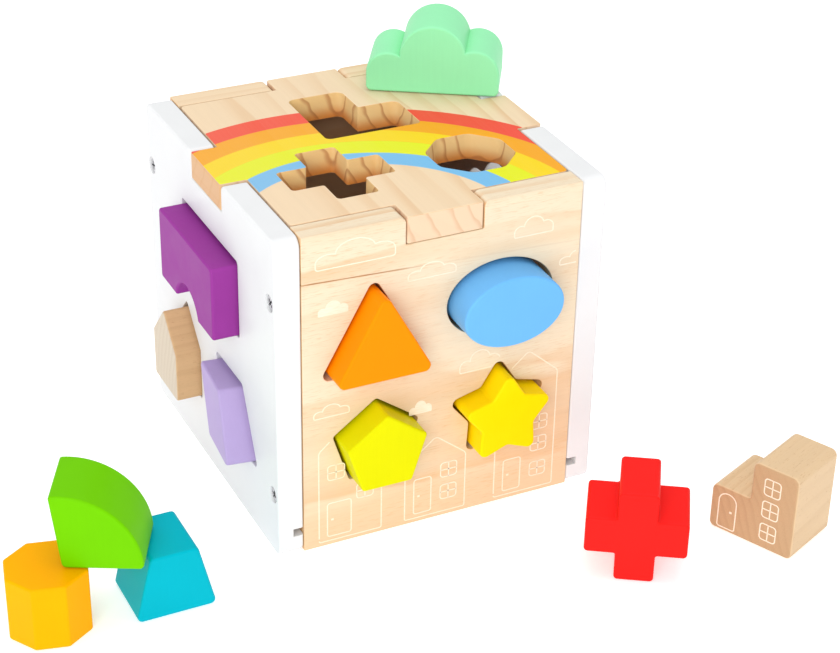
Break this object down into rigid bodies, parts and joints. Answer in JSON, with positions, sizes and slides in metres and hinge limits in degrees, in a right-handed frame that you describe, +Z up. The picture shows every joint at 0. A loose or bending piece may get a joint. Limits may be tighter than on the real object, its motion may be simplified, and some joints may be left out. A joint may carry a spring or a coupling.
{
  "type": "shape sorter cube",
  "caption": "Wooden box with a lift-out lid, shaped holes in its lid and sides, and matching blocks, some pushed into holes and some lying around it.",
  "frame": {"origin": "on the floor, under the middle of the rectangle that the cube and its loose blocks cover", "axes": "+Z up, -Y towards the printed front panel, +X towards the right side panel; the cube's middle is 20 mm along +X and 43 mm along +Y from the origin"},
  "size_m": [0.3216, 0.2256, 0.1701],
  "materials": {
    "pine": "oiled natural pine with printed colour on one face",
    "plywood": "bare thin plywood",
    "white_paint": "satin white paint on wood",
    "beech": "natural clear-coated beech",
    "screw_steel": "zinc plated",
    "orange_paint": "satin paint on wood",
    "blue_paint": "satin paint on wood",
    "lime_paint": "satin paint on wood",
    "yellow_paint": "satin paint on wood",
    "purple_paint": "satin paint on wood",
    "lilac_paint": "satin paint on wood",
    "red_paint": "satin paint on wood",
    "turquoise_paint": "satin paint on wood",
    "amber_paint": "satin paint on wood",
    "green_paint": "satin paint on wood",
    "mint_paint": "satin paint on wood"
  },
  "bodies": {
    "cube": {"front_panel": "pine", "back_panel": "pine", "left_panel": "white_paint", "right_panel": "white_paint", "base_plate": "plywood", "screw_left_front_low": "screw_steel", "screw_left_front_high": "screw_steel", "screw_left_back_low": "screw_steel", "screw_left_back_high": "screw_steel", "screw_right_front_low": "screw_steel", "screw_right_front_high": "screw_steel", "screw_right_back_low": "screw_steel", "screw_right_back_high": "screw_steel"},
    "lid": {"lid": "pine"},
    "triangle_block": {"triangle_block": "orange_paint"},
    "oval_block": {"oval_block": "blue_paint"},
    "pentagon_block": {"pentagon_block": "lime_paint"},
    "star_block": {"star_block": "yellow_paint"},
    "bridge_block": {"bridge_block": "purple_paint"},
    "gable_block": {"gable_block": "beech"},
    "rhombus_block": {"rhombus_block": "lilac_paint"},
    "cross_block": {"cross_block": "red_paint"},
    "tall_house_block": {"tall_house_block": "beech"},
    "trapezoid_block": {"trapezoid_block": "turquoise_paint"},
    "octagon_block": {"octagon_block": "amber_paint"},
    "quarter_block": {"quarter_block": "green_paint"},
    "cloud_block": {"cloud_block": "mint_paint"}
  },
  "joints": [
    {"name": "lid_lift", "type": "slide", "parent": "cube", "child": "lid", "axis": [0, 0, 1], "range_m": [0, 0.06]},
    {"name": "cloud_lift", "type": "slide", "parent": "lid", "child": "cloud_block", "axis": [0, 0, 1], "range_m": [0, 0.05]},
    {"name": "triangle_push", "type": "slide", "parent": "cube", "child": "triangle_block", "axis": [0, -1, 0], "range_m": [-0.008, 0.02]},
    {"name": "oval_push", "type": "slide", "parent": "cube", "child": "oval_block", "axis": [0, -0.9997, -0.0244], "range_m": [-0.008, 0.0195]},
    {"name": "pentagon_push", "type": "slide", "parent": "cube", "child": "pentagon_block", "axis": [0, -1, 0], "range_m": [-0.008, 0.019]},
    {"name": "star_push", "type": "slide", "parent": "cube", "child": "star_block", "axis": [0, -1, 0], "range_m": [-0.008, 0.0195]},
    {"name": "bridge_push", "type": "slide", "parent": "cube", "child": "bridge_block", "axis": [-1, 0, 0], "range_m": [-0.008, 0.019]},
    {"name": "gable_push", "type": "slide", "parent": "cube", "child": "gable_block", "axis": [-1, 0, 0], "range_m": [-0.008, 0.0175]},
    {"name": "rhombus_push", "type": "slide", "parent": "cube", "child": "rhombus_block", "axis": [-0.9959, 0.0871, 0.0262], "range_m": [-0.008, 0.021]},
    {"name": "cross_lift", "type": "slide", "parent": "cube", "child": "cross_block", "axis": [0, 0, 1], "range_m": [0, 0.05]},
    {"name": "tall_house_lift", "type": "slide", "parent": "cube", "child": "tall_house_block", "axis": [0, 0, 1], "range_m": [0, 0.05]},
    {"name": "octagon_lift", "type": "slide", "parent": "cube", "child": "octagon_block", "axis": [0, 0, 1], "range_m": [0, 0.05]},
    {"name": "quarter_lift", "type": "slide", "parent": "octagon_block", "child": "quarter_block", "axis": [0, 0, 1], "range_m": [0, 0.04]},
    {"name": "trapezoid_pull", "type": "slide", "parent": "cube", "child": "trapezoid_block", "axis": [0, -1, 0], "range_m": [0, 0.05]}
  ]
}
